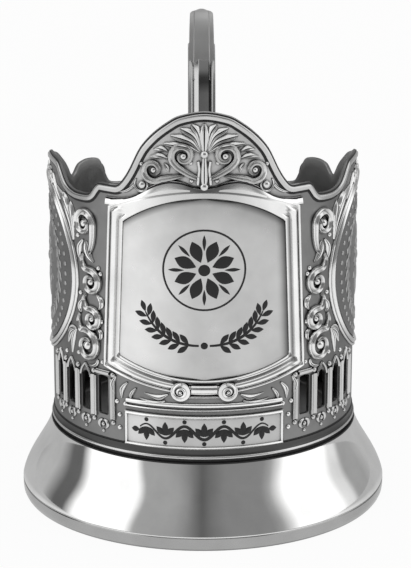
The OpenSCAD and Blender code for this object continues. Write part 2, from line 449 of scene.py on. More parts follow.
def plated(name, tone, roughness, patina, reach, open_at=0.85, grain=0.25, brushed=0.0, matted=0.0,
           painted_shading=False):
    """Silver plate. Recesses within reach (mm) are blackened by the share patina.

    grain is fine wear, brushed adds lines round the axis, and matted adds the dots of a punched
    ground. A finish that takes the piece's tone layer is multiplied by it: painted light and shade.
    """
    material, tree = with_tree(bpy.data.materials.new(name))
    where = add(tree, "TexCoord").outputs["Object"]
    dull, bright = (tone * 0.84, tone * 0.84, tone * 0.835, 1), (tone, tone, tone * 0.995, 1)
    colour = ramp(tree, noise(tree, where, CLOUDS, 5), [(0.3, dull), (0.7, bright)])
    # the tone layer is painted light and shade
    if painted_shading:
        layer = add(tree, "Attribute", attribute_name="tone")
        colour = add(tree, "MixRGB", 1.0, colour, layer, blend_type="MULTIPLY")
    hollow = add(tree, "AmbientOcclusion", samples=8, Distance=reach * MM)
    depth = add(tree, "MapRange", hollow.outputs["AO"], From_Min=open_at - 0.4, From_Max=open_at,
                To_Min=patina, To_Max=0.0)
    colour = add(tree, "MixRGB", depth, colour, TARNISH)

    spots = noise(tree, where, SPOTS)
    rough = add(tree, "MapRange", spots, To_Min=roughness * 0.75, To_Max=min(1.0, roughness * 1.25))
    height = spots
    if brushed:
        stretched = add(tree, "Mapping", where, Scale=(1, 1, 60))
        height = add(tree, "MixRGB", brushed, height, noise(tree, stretched, LINES, 2))
    if matted:
        height = add(tree, "MixRGB", matted, height, add(tree, "TexVoronoi", where, Scale=DOTS))
    bump = add(tree, "Bump", Strength=grain, Distance=0.06 * MM, Height=height)
    shader = add(tree, "BsdfPrincipled", colour, Metallic=1.0, Roughness=rough, Normal=bump)
    add(tree, "OutputMaterial", shader)
    return material


def black_fill(name):
    """The black fill of a cut line, also used as painted shade along the rim and the belt."""
    material, tree = with_tree(bpy.data.materials.new(name))
    grains = noise(tree, add(tree, "TexCoord").outputs["Object"], GRAINS)
    colour = ramp(tree, grains, [(0, (0.003, 0.003, 0.003, 1)), (1, TARNISH)])
    rough = add(tree, "MapRange", grains, To_Min=0.4, To_Max=0.6)
    add(tree, "OutputMaterial", add(tree, "BsdfPrincipled", colour, Roughness=rough))
    return material


GROUND = plated("sleeve_ground", 0.27, 0.4, patina=0.9, reach=1.0, open_at=0.86, grain=0.5, matted=0.5,
                painted_shading=True)
# The inside's patina reaches 8 mm, far past any hollow: painted shade deep in the cup.
INSIDE_WITH_PAINTED_SHADE = plated("sleeve_inside_painted_shade", 0.2, 0.45, patina=0.6, reach=8.0, open_at=0.8, grain=0.4, painted_shading=True)
DISC = plated("side_disc_ground", 0.27, 0.4, patina=0.95, reach=1.4, open_at=0.92, grain=0.5, matted=0.5)
RIM = plated("rim_moulding", 0.66, 0.22, patina=1.0, reach=0.8, open_at=0.83, grain=0.2)
# The belt's cove is drawn near black: painted shade under the low plate.
COVE_PAINTED_SHADE = plated("belt_cove_painted_shade", 0.09, 0.38, patina=0.7, reach=1.0, open_at=0.8, grain=0.3)
CROWN = plated("crown_relief", 0.8, 0.22, patina=0.85, reach=0.7, open_at=0.8)
MEDAL = plated("side_disc_relief", 0.5, 0.3, patina=0.95, reach=0.8, grain=0.3)
RAISED = plated("raised_relief", 0.9, 0.2, patina=1.0, reach=0.8, open_at=0.83)
POLISHED = plated("polished_plate", 0.93, 0.07, patina=0.5, reach=0.6, grain=0.03)
# The foot's upright edge is drawn darker than the polished foot: painted shade, for the shaded table it
# reflects.
FOOT_EDGE_PAINTED_SHADE = plated("foot_edge_painted_shade", 0.41, 0.16, patina=0.5, reach=0.6, grain=0.05)
FRAME = plated("frame_moulding", 0.97, 0.15, patina=1.0, reach=0.9, open_at=0.86, grain=0.05, painted_shading=True)
TRIM = plated("label_moulding", 0.95, 0.15, patina=1.0, reach=0.9, open_at=0.86, grain=0.05)
# Its patina, reaching 1.6 mm in from the frame, is partly blackening and partly painted shade along the
# edges.
PANEL = plated("satin_panel", 0.85, 0.3, patina=0.9, reach=1.6, open_at=0.92, grain=0.12, brushed=0.5,
               painted_shading=True)
HANDLE = plated("handle_plate", 0.4, 0.2, patina=0.95, reach=0.7, grain=0.12)
RIDGE = plated("handle_ridge", 0.6, 0.16, patina=0.9, reach=0.6, open_at=0.8, grain=0.1, painted_shading=True)
TONGUE = plated("thumb_rest_plate", 0.52, 0.55, patina=0.6, reach=0.7, open_at=0.8)
# The glass seat's patina reaches 6 mm, far past its grooves: painted shade near the cup's wall.
INNER = plated("inner_disc", 0.4, 0.35, patina=0.6, reach=6.0, grain=0.2)
BLACK_INLAY_AND_SHADE = black_fill("black_inlay_and_painted_shade")


# The sleeve

def slot_cutters():
    """A block through each slot: the first of a group is square at its top, the others pointed."""
    half, corner, point = SLOT_W / 2, 0.35, 1.1
    places = [(i, np.radians(back + side * (SLOT_FIRST_A + i * SLOT_PITCH_A)))
              for back in (0, 180) for side in (1, -1) for i in range(SLOT_COUNT)]
    mesh = Mesh()
    for i, turn in places:
        out_way = np.array([np.sin(turn), -np.cos(turn), 0])
        side_way = np.array([np.cos(turn), np.sin(turn), 0])
        rise = point if i else corner
        right = [(half - corner, SLOT_Z), (half, SLOT_Z + corner), (half, SLOT_TOP_Z - rise),
                 (half - corner, SLOT_TOP_Z - rise * 0.45)]
        outline = right + [(0, SLOT_TOP_Z)] + flipped(right)
        mesh.tube([[out_way * r + side_way * x + (0, 0, z) for x, z in outline]
                   for r in (BORE_R - 1, SLEEVE_R + 1)])
    cutters = mesh.linked("slot_cutters")
    fix_normals(cutters)
    return cutters


def cut_out(obj, cutters, crease):
    """Takes the cutters out of the object, and leaves no modifier on it."""
    cut = obj.modifiers.new("slots", "BOOLEAN")
    cut.operation, cut.solver, cut.object = "DIFFERENCE", "EXACT", cutters
    done = bpy.data.meshes.new_from_object(obj.evaluated_get(bpy.context.evaluated_depsgraph_get()))
    obj.modifiers.clear()
    obj.data = done
    bpy.data.objects.remove(cutters)
    obj.data.set_sharp_from_angle(angle=np.radians(crease))


def sleeve():
    """The sheet: outer wall, rounded edge and inner wall in one loop, then the slots cut through it."""
    columns, wall_rows, edge_rows, crease = 720, 26, 5, 50
    a = np.linspace(0, 360, columns, endpoint=False)
    turn = np.radians(a)
    edge = SLEEVE_WALL / 2
    rise = rim_z(a) - edge - FLOOR_Z
    climb = np.linspace(0, 1, wall_rows)
    loops = [around(SLEEVE_R, FLOOR_Z + t * rise, turn) for t in climb]
    for t in np.linspace(0, np.pi, edge_rows + 2)[1:-1]:
        loops.append(around(SLEEVE_R - edge + edge * np.cos(t), FLOOR_Z + rise + edge * np.sin(t), turn))
    loops += [around(BORE_R, FLOOR_Z + t * rise, turn) for t in climb[::-1]]
    obj = Mesh().loops(loops).piece("sleeve_sheet", GROUND, crease=crease, replaces=["body_sleeve"])
    cut_out(obj, slot_cutters(), crease)
    # the upward faces of the rim's edge and of the slots take the darker inside finish too: painted shade
    refinish(obj, INSIDE_WITH_PAINTED_SHADE, lambda r, z, normal: r < BORE_R + 0.05 or normal.z > 0.3)

    def tone(x, y, z):
        """Painted light: the crown's ground is drawn brighter; painted shade: the inside darkens as it gets
        deeper.
        """
        crown = clip((z - 76) / 4) * (y < -SLEEVE_R * 0.8)
        up = clip((z - FLOOR_Z) / (RIM_LOW_Z - FLOOR_Z))
        return np.where(np.hypot(x, y) < BORE_R + 0.1, 0.12 + 1.9 * up ** 1.5, 1 + 1.4 * crown)

    paint_light_and_shade(obj, tone)


def rim_path(inset):
    """A line all round at a distance inside the rim's edge."""
    a = np.linspace(-180, 180, 721)
    line = np.stack([arc_of(a), rim_z(a)], -1)
    along = np.gradient(line, axis=0)
    along /= np.linalg.norm(along, axis=1, keepdims=True)
    return line + inset * np.stack([along[:, 1], -along[:, 0]], -1)


def rim_border():
    """A rounded band inside the edge, with a line under it; the black edge and the black line are painted
    shade.
    """
    for name, material, inset, *shape in (
            ("rim_band", RIM, 1.1, 1.25, 0.45, BAND),
            ("rim_edge", BLACK_INLAY_AND_SHADE, 0.42, 0.5, 0.1, ROUND),
            ("rim_line", BLACK_INLAY_AND_SHADE, 2.0, 0.45, 0.06, FLAT)):
        relief = Relief(ONCE)
        relief.stroke(rim_path(inset), *shape)
        relief.piece(name, material)


# The crown's ornament and the scroll columns

def crown_ornament():
    relief = Relief()
    single = Relief(ONCE)
    # palmette: a middle leaf, then lobes that fan out over the large volutes
    single.stroke(bezier((0, 87.2), (0, 89), (0, 91.5), (0, 94.2)), (0.7, 2.6, 0.8, 0.7), 0.9, LEAF)
    for tip, w in (((2.6, 93.9), 2.1), ((5.0, 93.0), 2.1), ((7.1, 91.4), 2.0), ((8.6, 89.6), 1.8)):
        start = np.array([0.5 + 0.05 * tip[0], 87.7 + 0.07 * (tip[1] - 87.7)])
        relief.leaf(start, start + (tip - start) * (0.3, 0.72), tip, (0.5, w, 0.8, 0.78), 0.75)
    # the large pair of volutes rolls in towards the palmette
    large = joined(through((1.2, 82.2), (2.9, 83.0), (5.2, 84.4), (6.5, 85.6)),
                   volute((4.5, 87.1), 2.5, 1.35, -35, 1, 0.55))
    relief.stroke(large, (0.9, 1.7, 0.6, 0.4), 0.95, RIBBON)
    relief.bead((4.4, 87.0), 0.8, 1.0)
    # husk, ball and stem down to the frame
    single.stroke(through((0, 80.4), (0, 82.5), (0, 85.0), (0, 87.2)), (1.3, 1.9, 1.1, 0.35), 0.8, LEAF)
    relief.stroke(through((1.35, 80.9), (1.25, 82.4), (1.05, 84.2), (1.3, 86.0)), 0.75, 0.6)
    single.bead((0, 87.5), 1.0, 1.15)
    single.bead((0, 80.4), 1.0, 0.9)
    # leaves off the large volute's back
    for start, tip in (((7.8, 88.0), (11.0, 88.2)), ((7.6, 86.4), (11.9, 86.6))):
        bow = np.add(start, tip) / 2 + (0, 0.6)
        relief.leaf(start, bow, tip, (0.5, 1.6, 0.3, 0.45), 0.7)
    # the second pair rolls up from the low arch
    second = joined(through((4.4, 82.9), (6.2, 82.5), (7.8, 82.2), (9.2, 81.9)),
                    volute((10.9, 83.8), 2.45, 1.4, -130, 1, 0.5))
    relief.stroke(second, (0.7, 1.55, 0.5, 0.4), 0.9, RIBBON)
    relief.bead((10.9, 83.8), 0.75, 0.95)
    relief.stroke(through((7.6, 83.6), (7.9, 84.6), (8.6, 85.4)), (0.4, 1.1, 0.4), 0.6, LEAF)
    # ball and small roll in the shoulder
    relief.bead((13.6, 80.4), 0.95, 1.0)
    relief.stroke(volute((13.6, 80.4), 1.75, 0.8, 40, -1, 1.1), (0.4, 0.75, 0.4), 0.5)
    relief.stroke(through((15.4, 80.2), (16.2, 79.4), (17.5, 78.6), (19.0, 78.2)), (0.8, 0.9, 0.3), 0.5, LEAF)
    for place in ((2.7, 81.7), (13.7, 84.9), (2.9, 85.6)):
        relief.bead(place, 0.5, 0.5)
    relief.piece("crown_scrolls", CROWN)
    single.piece("crown_palmette", CROWN)


def scroll_columns():
    """The column of scrolls between the front frame and each side frame, and its copy behind."""
    relief = Relief(ALL_FOUR)
    # each scroll: the line that leads to it, then centre, radius, start angle, hand, turns
    scrolls = [
        ([(28.6, 62.2), (27.3, 64.0), (26.6, 66.4)], (29.4, 69.6), 3.0, 200, -1, 1.35),
        ([(29.8, 62.6), (30.2, 61.0), (29.3, 59.6)], (27.4, 56.6), 2.75, 65, 1, 1.3),
        ([(29.0, 53.6), (29.8, 52.2), (28.9, 50.6)], (27.1, 48.1), 2.35, 65, 1, 1.3),
        ([(31.4, 48.6), (31.8, 46.8), (30.9, 45.2)], (28.9, 41.7), 3.7, 60, 1, 1.2),
    ]
    for lead, centre, r, start, hand, turns in scrolls:
        roll = volute(centre, r, turns, start, hand, 0.32 * r)
        whole = joined(through(*lead, roll[2], n=6), roll[3:])
        relief.stroke(whole, (0.6, 1.6, 0.7, 0.4), 1.0, RIBBON)
        relief.bead(centre, 0.3 * r, 1.1)
    # leaves between the scrolls
    for *path, w, h in (
            ((29.0, 65.6), (28.7, 64.0), (27.9, 62.4), (26.6, 61.2), 1.9, 0.8),
            ((30.0, 65.8), (31.2, 64.2), (31.3, 62.4), (30.6, 60.8), 1.5, 0.7),
            ((25.6, 53.9), (24.5, 52.9), (24.3, 51.8), (25.1, 50.6), 1.5, 0.7),
            ((30.6, 51.9), (31.4, 50.8), (31.5, 49.8), (30.9, 48.9), 1.2, 0.6),
            ((25.4, 46.3), (24.6, 45.4), (24.6, 44.5), (25.2, 43.6), 1.2, 0.6),
            ((25.6, 39.0), (26.0, 37.9), (27.2, 37.2), (28.6, 37.1), 1.1, 0.6)):
        relief.stroke(through(*path), (0.5, w, 0.4, 0.45), h, LEAF)
    for place in ((25.2, 60.1), (31.9, 66.4), (24.6, 58.9), (31.2, 53.4), (24.4, 48.0), (32.3, 39.2),
                  (41.4, 37.4), (37.6, 38.2), (24.3, 38.7)):
        relief.bead(place, 0.55, 0.55)
    # the corner between the lowest scroll and the side frame
    start = (33.0, 44.6)
    for tip, w in (((36.4, 43.0), 1.5), ((36.6, 40.6), 1.5), ((34.8, 38.6), 1.3)):
        bow = np.add(start, tip) / 2 + (0.3, 0.7)
        relief.leaf(start, bow, tip, (0.5, w, 0.4, 0.5), 0.7)
    relief.piece("scroll_columns", RAISED)
    # the leafy spray along the side frame's front shoulder
    spray = Relief()
    for *path, w in (((33.6, 65.0), (34.6, 69.4), (37.4, 73.2), (41.6, 75.6), 2.1),
                     ((33.9, 67.2), (33.5, 69.8), (34.0, 72.0), (34.6, 73.6), 1.5),
                     ((35.6, 70.6), (35.9, 72.5), (36.7, 74.0), (37.7, 75.0), 1.5)):
        spray.stroke(through(*path), (0.5, w, 0.3, 0.5), 0.8, LEAF)
    spray.piece("shoulder_sprays", RAISED)


def slot_surrounds():
    """Pillars between the slots, the heads over them and the small ornaments below."""
    relief = Relief(ALL_FOUR)
    low, top = SLOT_Z, SLOT_TOP_Z
    slots = [arc_of(SLOT_FIRST_A + i * SLOT_PITCH_A) for i in range(SLOT_COUNT)]
    for i in range(SLOT_COUNT + 1):
        s = slots[0] + (i - 0.5) * arc_of(SLOT_PITCH_A)
        width = 1.3 if i in (0, SLOT_COUNT) else 1.9
        relief.stroke(np.linspace((s, low - 0.6), (s, top - 0.4), 8), width, 0.6, RIBBON)
        relief.bead((s, top + 0.6), 0.7, 0.7)
        relief.bead((s, low - 1.4), 0.65, 0.6)
    # the first slot has a flat cap, the others a pointed head
    cap = [(s, top + 0.75) for s in np.linspace(slots[0] - 2.0, slots[0] + 2.0, 8)]
    relief.stroke(cap, 1.1, 0.75, STEPPED)
    head = bezier((1.75, -1.2), (1.5, 0.3), (0.8, 0.8), (0, 1.7), 12)
    hook = bezier((0.2, -1.2), (1.3, -1.3), (1.7, -2.5), (0.7, -3.1), 12)
    for s in slots[1:]:
        for side in (-1, 1):
            relief.stroke(head * (side, 1) + (s, top), 0.6, 0.5)
    for s in slots:
        for side in (-1, 1):
            relief.stroke(hook * (side, 1) + (s, low), (0.5, 0.95, 0.4), 0.5)
        relief.bead((s, low - 2.2), 0.55, 0.55)
        relief.bead((s, low - 3.8), 0.45, 0.45)
    relief.piece("slot_surrounds", RIM)


def side_crests():
    """A palmette with two volutes over each side frame, and leaves on each hump of the back rim."""
    relief = Relief()
    middle = arc_of(84)
    for lean, w in ((0, 2.0), (-2.4, 1.7), (2.4, 1.7), (-4.4, 1.5), (4.4, 1.5)):
        tip = (middle + lean, 79.6 - abs(lean) * 0.3 - (0.3 if lean > 0 else 0))
        start, bow = (middle + lean * 0.15, 77.4), (middle + lean * 0.6, 78.4)
        relief.leaf(start, bow, tip, (0.5, w * 0.8, 0.4, 0.6), 0.5, n=12)
    for side in (-1, 1):
        centre = (middle + side * 4.0, 76.6)
        roll = volute(centre, 1.9, 1.35, 90 - side * 70, -side, 0.5)
        tail = through((middle + side * 11.5, 73.0), (middle + side * 9.0, 75.2),
                       (middle + side * 6.8, 77.2), roll[0])
        relief.stroke(joined(tail, roll), (0.5, 1.3, 0.5, 0.4), 0.6, RIBBON)
        relief.bead(centre, 0.65, 0.65)
    relief.bead((middle, 77.9), 0.9, 0.65)
    hump = arc_of(127)
    for lean in (-2.6, 0, 2.6):
        path = bezier((hump + lean * 0.2, 66.6), (hump + lean * 0.8, 68.0), (hump + lean, 69.2),
                      (hump + lean, 70.9 - abs(lean) * 0.3), 12)
        relief.stroke(path, (0.5, 1.6, 0.4, 0.6), 0.65, LEAF)
    relief.bead((hump, 66.3), 0.8, 0.8)
    relief.piece("side_crests", RAISED)


def front_foliage():
    """The volutes and the roll that hang on the frame's foot, and the sprigs beside them."""
    low = FRAME_LOW_Z - FRAME_SAG
    centre = (5.1, low + 0.75)
    boss = Relief()
    boss.rings(centre, [(2.2, 0.9), (2.1, 1.05), (1.9, 1.1), (0.05, 1.1)], steps=32)
    boss.piece("volute_bosses", RAISED)
    curl = Relief(base=1.05, foot=0.9)
    curl.stroke(volute(centre, 1.85, 1.7, 100, -1, 0.45, hold=1.0), (0.75, 0.75, 0.55, 0.3), 0.6)
    curl.bead(centre, 0.45, 0.65)
    curl.piece("volute_curls", RAISED)
    bar = Relief(ONCE)
    bar.stroke([(s, low + 1.25) for s in np.linspace(-2.75, 2.75, 14)], 2.3, 1.35)
    bar.stroke([(s, low - 0.55) for s in np.linspace(-3.6, 3.6, 14)], 0.7, 0.6)
    bar.piece("low_roll", RAISED)
    relief = Relief()
    for *line, w in (
            ((8.0, 33.6), (10.0, 32.4), (13.4, 33.4), 1.5),
            ((8.6, 32.0), (11.4, 31.1), (14.6, 32.1), 1.2),
            ((17.6, 35.2), (19.2, 33.6), (19.0, 31.4), 1.4),
            ((20.6, 36.2), (21.8, 34.2), (21.1, 32.0), 1.3),
            ((15.4, 34.2), (16.7, 32.8), (16.7, 31.4), 1.1)):
        relief.leaf(*line, (0.5, w, 0.35, 0.45), 0.6)
    for place in ((18.2, 30.2), (20.4, 30.4), (19.7, 27.4), (19.7, 24.4)):
        relief.bead(place, 0.6, 0.5)
    relief.piece("low_sprigs", RAISED)


# The front frame and its plate

ARC_POINTS = 60
SIDE_POINTS = 30
# The moulding is narrower over the plate's middle: the top arc rises by this share of the inset
ARCH_GAIN = 0.4
# Inset, then lift as a share of FRAME_T at the sides and below, and along the smooth top
FRAME_SECTION = [
    (0, 0, 0), (0.04, 0.5, 0.55), (0.16, 0.72, 0.66), (0.34, 0.76, 0.7), (0.5, 0.62, 0.72), (0.62, 0.3, 0.74),
    (0.82, 0.3, 0.77), (0.95, 0.6, 0.79), (1.12, 0.92, 0.8), (1.45, 1.0, 0.82), (1.8, 0.86, 0.82),
    (2.02, 0.5, 0.81), (2.2, 0.15, 0.8), (2.48, 0.15, 0.79), (2.6, 0.65, 0.78), (2.82, 0.9, 0.74),
    (3.06, 0.82, 0.66), (3.22, 0.5, 0.4), (FRAME_BAND, 0.1, 0.1),
]
# The hood over the frame: its upper edge as (s, z), and its section as shares of the way up and lifts
ROOF = [(22.6, 76.8), (19.6, 76.9), (16.8, 77.3), (14.4, 78.4), (12.0, 80.0), (9.6, 81.3), (7.2, 81.9),
        (4.6, 81.5), (2.4, 80.6), (0.0, 80.1)]
HOOD_SECTION = [(0, 0.6), (0.06, 0.72), (0.3, 0.66), (0.6, 0.56), (0.74, 0.5), (0.79, 0.12), (0.84, 0.12),
                (0.88, 0.5), (0.94, 0.6), (1, 0.3)]
HOOD_LAP = 0.5


def cartouche(d):
    """The front frame's outline drawn in by d: top arc, right side, bottom arc, left side."""
    lean = (FRAME_W - FRAME_TOP_W) / 2 / (FRAME_HIGH_Z - FRAME_LOW_Z)
    half_top = FRAME_TOP_W / 2 - d + lean * d
    half_low = FRAME_W / 2 - d - lean * d
    x = np.linspace(-1, 1, ARC_POINTS)

    def arc(half, rise):
        r = (half * half + rise * rise) / (2 * rise)
        return np.sqrt(r * r - (x * half) ** 2) - (r - rise)

    top_arc = arc(half_top, FRAME_ARCH + ARCH_GAIN * d)
    top = np.stack([x * half_top, FRAME_HIGH_Z - d + top_arc], -1)
    bottom = np.stack([-x * half_low, FRAME_LOW_Z + d - arc(half_low, FRAME_SAG)], -1)
    right = np.linspace(top[-1], bottom[0], SIDE_POINTS)[1:-1]
    left = np.linspace(bottom[-1], top[0], SIDE_POINTS)[1:-1]
    flat = np.concatenate([top, right, bottom, left])
    # from a flat outline seen from the front to the arc round the sleeve
    return np.stack([np.arcsin(flat[:, 0] / SLEEVE_R) * SLEEVE_R, flat[:, 1]], -1)


def frame_edge_x(z):
    """Half the frame's width at a height."""
    return np.interp(z, [FRAME_LOW_Z, FRAME_HIGH_Z], [FRAME_W / 2, FRAME_TOP_W / 2])


def hood():
    """The smooth field between the front frame's top and the low arch of the crown's ornament."""
    half = through(*ROOF, n=8)
    s, z = np.concatenate([half * (-1, 1), half[::-1][1:]]).T
    outline = cartouche(HOOD_LAP)[:ARC_POINTS]
    under = np.interp(s, outline[:, 0], outline[:, 1], left=FRAME_HIGH_Z, right=FRAME_HIGH_Z)
    rows = [bent(np.stack([s, under + t * (z - under)], -1), lift)
            for t, lift in HOOD_SECTION + [(1, -SINK), (0, -SINK)]]
    obj = Mesh().tube(np.stack(rows, axis=1)).piece("frame_hood", FRAME, "polished_silver", 60)
    # painted shade: the hood is drawn darker towards its middle
    paint_light_and_shade(obj, lambda x, y, z: 1 - 0.45 * (1 - clip(np.abs(x) / 14) ** 1.5))


def frame_moulding():
    """Outer bead, groove, round band, wide groove and inner bead, which run out into a smooth top."""
    along = np.abs(np.linspace(-1, 1, ARC_POINTS))
    lined = np.ones(len(cartouche(0)))
    lined[:ARC_POINTS] = clip((along - 0.9) / 0.08)
    rows = [bent(cartouche(d), (lined * lift + (1 - lined) * top_lift) * FRAME_T)
            for d, lift, top_lift in FRAME_SECTION]
    rows += [bent(cartouche(d), -SINK) for d in (FRAME_BAND, 0)]
    obj = Mesh().loops(rows).piece("front_frame", FRAME, "polished_silver", 60, ["cartouche_frame"])

    def tone(x, y, z):
        """Painted shade: the groove beside the inner bead is darkened, most on the right, and so is the top's
        middle.
        """
        groove = np.exp(-((frame_edge_x(z) - np.abs(x) - 2.42) / 0.33) ** 4)
        upright = (z > FRAME_LOW_Z) & (z < FRAME_HIGH_Z)
        top = (z > FRAME_HIGH_Z - 1) * (1 - clip(np.abs(x) / 15) ** 1.5)
        return 1.03 - np.where(x > 0, 0.78, 0.25) * groove * upright - 0.45 * top

    paint_light_and_shade(obj, tone)


def sheet(outer, inner):
    """A thin solid between two matching sets of rows of points."""
    return Mesh().tube(np.concatenate([outer, inner[:, ::-1]], axis=1))


def front_plate():
    s, z = cartouche(FRAME_BAND + CLEAR).T
    next_s, next_z = np.roll(s, -1), np.roll(z, -1)
    columns, rows, end = 64, 60, 0.01
    grid = []
    for h in np.linspace(z.min() + end, z.max() - end, rows):
        cut = (z - h) * (next_z - h) < 0
        ends = s[cut] + (next_s - s)[cut] * (h - z[cut]) / (next_z - z)[cut]
        grid.append(np.linspace((ends.min(), h), (ends.max(), h), columns))
    grid = np.array(grid)
    mesh = sheet(bent(grid, PANEL_LIFT), bent(grid, -SINK / 2))
    obj = mesh.piece("front_panel", PANEL, "plain_silver", replaces=["front_plate"])

    def tone(x, y, z):
        """Painted light, brightest low on the left, and painted shade along the right edge and under the
        arch.
        """
        edge_x = frame_edge_x(z) - FRAME_BAND
        arch = FRAME_HIGH_Z - FRAME_BAND + (FRAME_ARCH + ARCH_GAIN * FRAME_BAND) * (1 - (x / edge_x) ** 2)
        base = 1.05 - 0.3 * clip((x + 14) / 12) - 0.24 * clip(1 - (arch - z) / 6)
        right = 1 - 0.8 * clip(1 - (edge_x - x) / 1.9) ** 1.3
        return base * right * (1 - 0.6 * clip(1 - (arch - z) / 1.4))

    paint_light_and_shade(obj, tone)


def front_emblem():
    """A plain rosette over two leafy sprigs, filled with black."""
    rosette = Relief(ONCE, PANEL_LIFT)
    middle, low_z = (0, 62.0), 45.0
    for turn, start, length, width in ((22.5, 1.9, 5.0, 2.7), (0, 4.4, 3.4, 0.8)):
        for i in range(8):
            rosette.petal(middle, turn + i * 45, start, length, width, INLAY_T)
    rosette.bead(middle, 1.3, 1.2 * INLAY_T, steps=24)
    rosette.stroke(circle(middle, 8.9, 60, closed=True), 0.45, INLAY_T)
    rosette.bead((0, low_z), 0.8, 1.2 * INLAY_T)
    rosette.piece("emblem_rosette", BLACK_INLAY_AND_SHADE, "plain_silver")

    sprigs = Relief(base=PANEL_LIFT)
    stem = bezier((1.2, low_z), (6.5, low_z), (10.8, 47.4), (13.0, 52.2), 24)
    sprigs.stroke(stem, (0.5, 0.7, 0.3), INLAY_T)
    along = np.gradient(stem, axis=0)
    for i in range(3, 23, 3):
        direction = np.degrees(np.arctan2(along[i, 1], along[i, 0]))
        for side in (-1, 1):
            sprigs.petal(stem[i], direction + side * 42, 0.3, 2.9, 1.25, INLAY_T)
    sprigs.petal(stem[-1], 70, 0.0, 2.6, 1.2, INLAY_T)
    sprigs.piece("emblem_sprigs", BLACK_INLAY_AND_SHADE, "plain_silver")


def name_plate():
    """The low plate: a sheet with a raised edge and a cornice over it."""
    half = SLEEVE_R * np.arcsin(LABEL_HIGH[0] / SLEEVE_R)
    low, high = LABEL_LOW[2], LABEL_HIGH[2]
    grid = np.stack(np.meshgrid(np.linspace(-half, half, 50), np.linspace(low, high, 10)), -1)
    mesh = sheet(bent(grid, LABEL_LIFT), bent(grid, -SINK / 2))
    obj = mesh.piece("low_plate", PANEL, "plain_silver", replaces=["name_plate"])
    # painted light and shade: lighter on the left, darker towards the right
    paint_light_and_shade(obj, lambda x, y, z: 0.9 - 0.2 * clip((x + 14) / 10))

    edge = Relief(ONCE)
    inset = 0.4
    s = np.linspace(-half + inset, half - inset, 50)
    z = np.linspace(low + inset, high - inset, 12)
    for line in ([(v, low + inset) for v in s], [(v, high - inset) for v in s],
                 [(-half + inset, v) for v in z], [(half - inset, v) for v in z]):
        edge.stroke(line, 0.8, LABEL_T + 0.15)
    for rise, width, height in ((1.15, 0.55, 0.45), (2.35, 1.1, 0.6)):
        edge.stroke([(v, high + rise) for v in s], width, height)
    edge.piece("low_plate_edge", TRIM, "polished_silver")


def low_vine():
    """A running vine on the low plate, filled with black."""
    vine = Relief(ONCE, LABEL_LIFT)
    middle = (LABEL_LOW + LABEL_HIGH)[2] / 2
    bends, pitch, sway = 7, 4.3, 1.5
    first = (bends - 1) / 2
    end = (first + 0.35) * pitch
    s = np.linspace(-end, end, 160)
    wave = middle + sway * np.cos(np.pi * (s / pitch + first))
    vine.stroke(np.stack([s, wave], -1), (0.3, 0.75, 0.3), INLAY_T, FLAT)
    for i in range(bends):
        s0 = (i - first) * pitch
        side = (-1) ** i
        for lean, size in ((0, 3.1), (44, 2.7), (-44, 2.7)):
            vine.petal((s0, middle + side * 0.9), -side * 90 + lean, 0.1, size, 1.35, INLAY_T, FLAT)
        vine.bead((s0, middle + side * 2.5), 0.5, INLAY_T)
    for side in (-1, 1):
        vine.petal((side * end, middle), 90 - side * 90, 0.1, 1.9, 1.3, INLAY_T, FLAT)
    vine.piece("low_plate_vine", BLACK_INLAY_AND_SHADE, "plain_silver")


# The round side frames and their plates

# Inset, and lift as a share of FRAME_T
SIDE_SECTION = [(0, 0), (0.04, 0.4), (0.25, 0.6), (0.5, 0.45), (0.62, 0.12), (0.75, 0.5), (1.2, 0.95),
                (1.65, 0.6), (1.78, 0.12), (1.95, 0.5), (SIDE_BAND, 0.1)]


def side_ring(r, side, lift):
    """A circle seen from the side, carried onto the sleeve on the right (1) or the left (-1)."""
    y, z = circle((0, SIDE_Z), r, 120).T
    s = SLEEVE_R * np.arccos(np.clip(-y / SLEEVE_R, -1, 1))
    return bent(np.stack([side * s, z], -1), lift)


def side_plates():
    wreath_r, dots_r = 13.6, 17.3
    centre = (QUARTER, SIDE_Z)
    for side, name in ((1, "right"), (-1, "left")):
        rows = [side_ring(SIDE_R - d, side, lift * FRAME_T) for d, lift in SIDE_SECTION]
        rows += [side_ring(SIDE_R - d, side, -SINK) for d in (SIDE_BAND, 0)]
        Mesh().loops(rows).piece(f"side_moulding_{name}", RAISED, crease=60, replaces=[f"side_frame_{name}"])
        radii = (SIDE_R - SIDE_BAND - CLEAR) * np.linspace(0.02, 1, 20)
        rows = [side_ring(r, side, DISC_LIFT) for r in radii]
        rows += [side_ring(r, side, -SINK / 2) for r in radii[::-1]]
        Mesh().loops(rows).piece(f"side_disc_{name}", DISC, replaces=[f"side_plate_{name}"])

        relief = Relief((name,), DISC_LIFT)
        for i in range(8):
            relief.petal(centre, i * 45, 1.6, 6.2, 3.2, 0.4, LEAF)
            relief.petal(centre, i * 45 + 22.5, 4.2, 5.2, 1.6, 0.3, LEAF)
        relief.bead(centre, 1.5, 0.6, steps=20)
        leaves = 32
        for i, place in enumerate(circle(centre, wreath_r, leaves)):
            for lean in (28, -28):
                relief.petal(place, i / leaves * 360 + 90 + lean, 0, 2.9, 1.15, 0.28, LEAF)
        relief.stroke(circle(centre, wreath_r, 80, closed=True), 0.6, 0.22)
        for place in circle(centre, dots_r, 48):
            relief.bead(place, 0.6, 0.25, steps=10, rings=3)
        relief.piece(f"side_rosette_{name}", MEDAL)


# The turned pieces

def turned(profile, steps=192):
    """A closed profile of (r, z) turned round the axis."""
    turn = np.linspace(0, 2 * np.pi, steps, endpoint=False)
    return Mesh().loops([around(r, z, turn) for r, z in profile])


